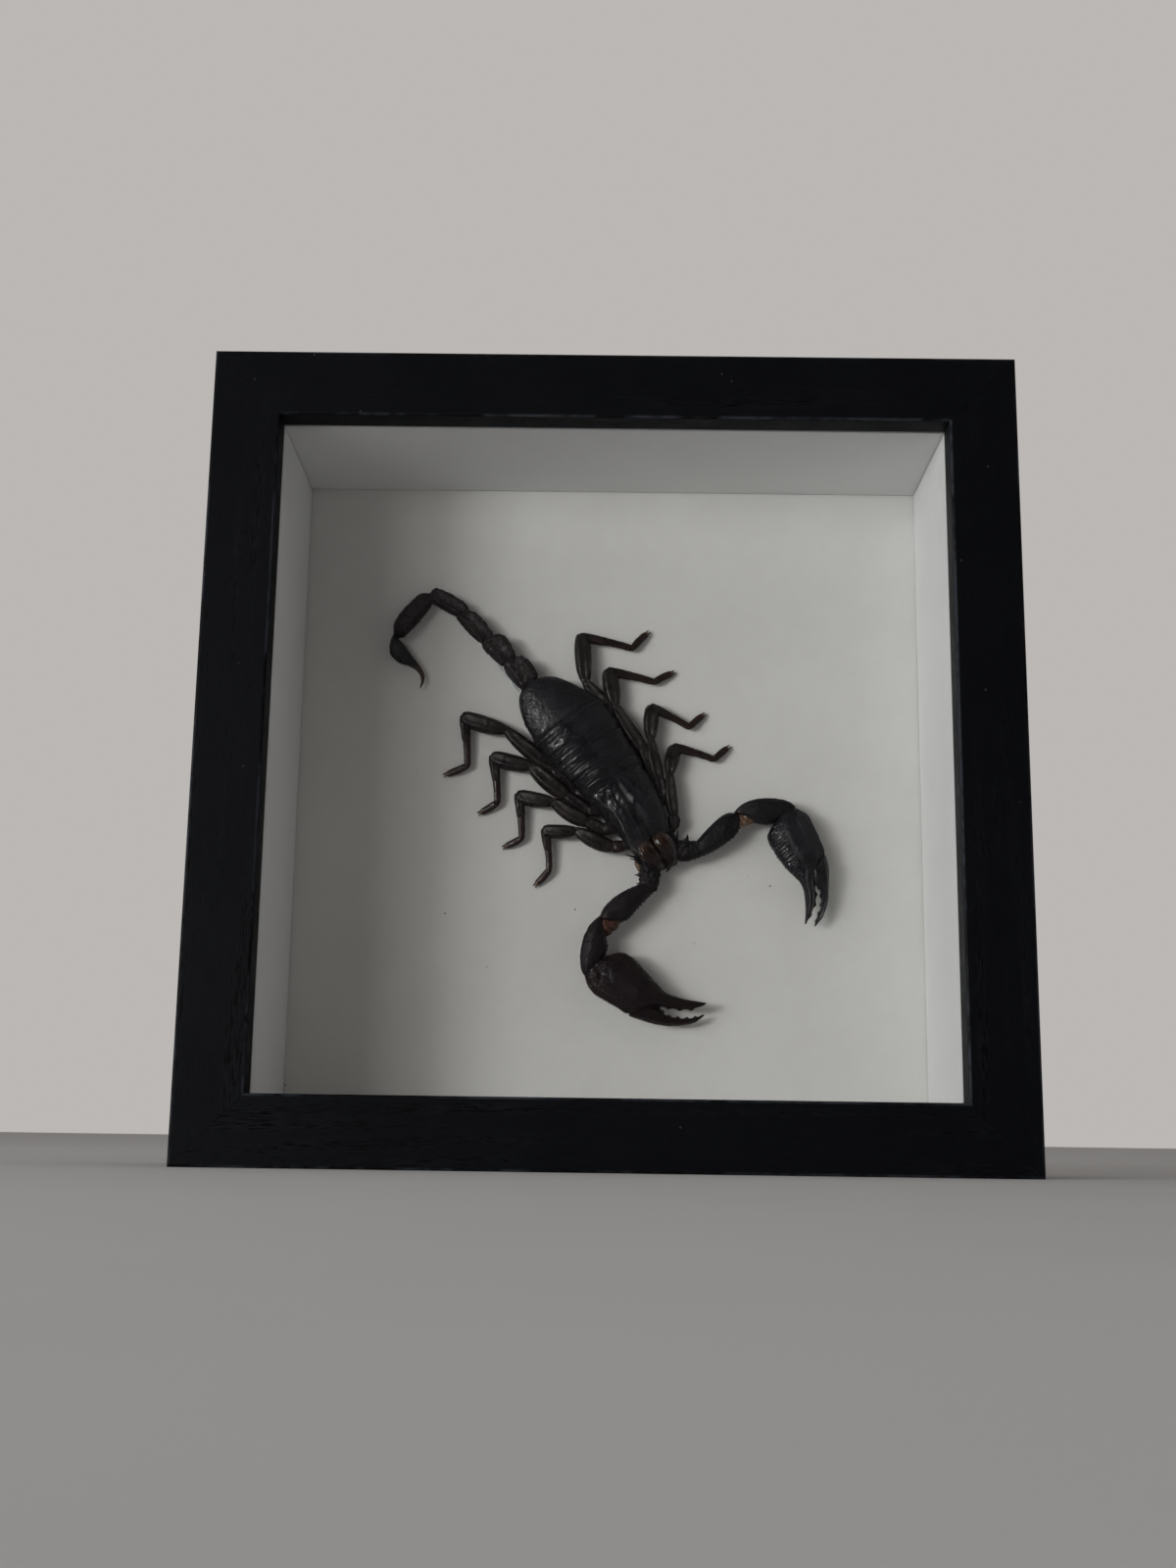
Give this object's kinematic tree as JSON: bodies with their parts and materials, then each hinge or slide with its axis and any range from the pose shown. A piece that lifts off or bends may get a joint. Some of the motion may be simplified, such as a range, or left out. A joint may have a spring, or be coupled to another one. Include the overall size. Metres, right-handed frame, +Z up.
{
  "type": "framed scorpion specimen",
  "caption": "Deep black wooden box frame with glass front and white lining, holding a dry black scorpion fixed flat on pale backing paper.",
  "frame": {"origin": "middle of the bottom face, on the surface that the frame stands on", "axes": "+X to the viewer's right, +Y towards the back, +Z up; the glass faces -Y"},
  "size_m": [0.25, 0.075, 0.25],
  "materials": {
    "stained_wood": "black stain on open-pored wood, satin, pores still visible along the grain",
    "front_glass": "clear flat pane, polished",
    "lining_board": "matt white card-faced board",
    "backing_paper": "matt off-white textured paper on board",
    "back_board": "plain brown pressed board",
    "tab_steel": "thin bright steel",
    "black_shell": "black horny shell, half gloss, with granules and ridges",
    "brown_shell": "glossy dark red-brown shell",
    "leg_shell": "dark brown-black shell, reddish at the feet",
    "clear_glue": "dried clear adhesive"
  },
  "bodies": {
    "root": {"rail_top": "stained_wood", "rail_bottom": "stained_wood", "rail_left": "stained_wood", "rail_right": "stained_wood", "glass_pane": "front_glass", "liner_top": "lining_board", "liner_bottom": "lining_board", "liner_left": "lining_board", "liner_right": "lining_board", "backing_board": "backing_paper", "back_panel": "back_board", "back_tab_1": "tab_steel", "back_tab_2": "tab_steel", "back_tab_3": "tab_steel", "back_tab_4": "tab_steel", "back_tab_5": "tab_steel", "back_tab_6": "tab_steel", "back_tab_7": "tab_steel", "back_tab_8": "tab_steel", "body": "black_shell", "tail": "black_shell", "sting": "black_shell", "pincer_arm_left": "black_shell", "pincer_arm_right": "black_shell", "pincer_hand_left": "black_shell", "pincer_hand_right": "black_shell", "pincer_finger_left": "black_shell", "pincer_finger_right": "black_shell", "chelicera_left": "brown_shell", "chelicera_right": "brown_shell", "leg_left_1": "leg_shell", "leg_left_2": "leg_shell", "leg_left_3": "leg_shell", "leg_left_4": "leg_shell", "leg_right_1": "leg_shell", "leg_right_2": "leg_shell", "leg_right_3": "leg_shell", "leg_right_4": "leg_shell", "glue_strand": "clear_glue"}
  },
  "joints": []
}
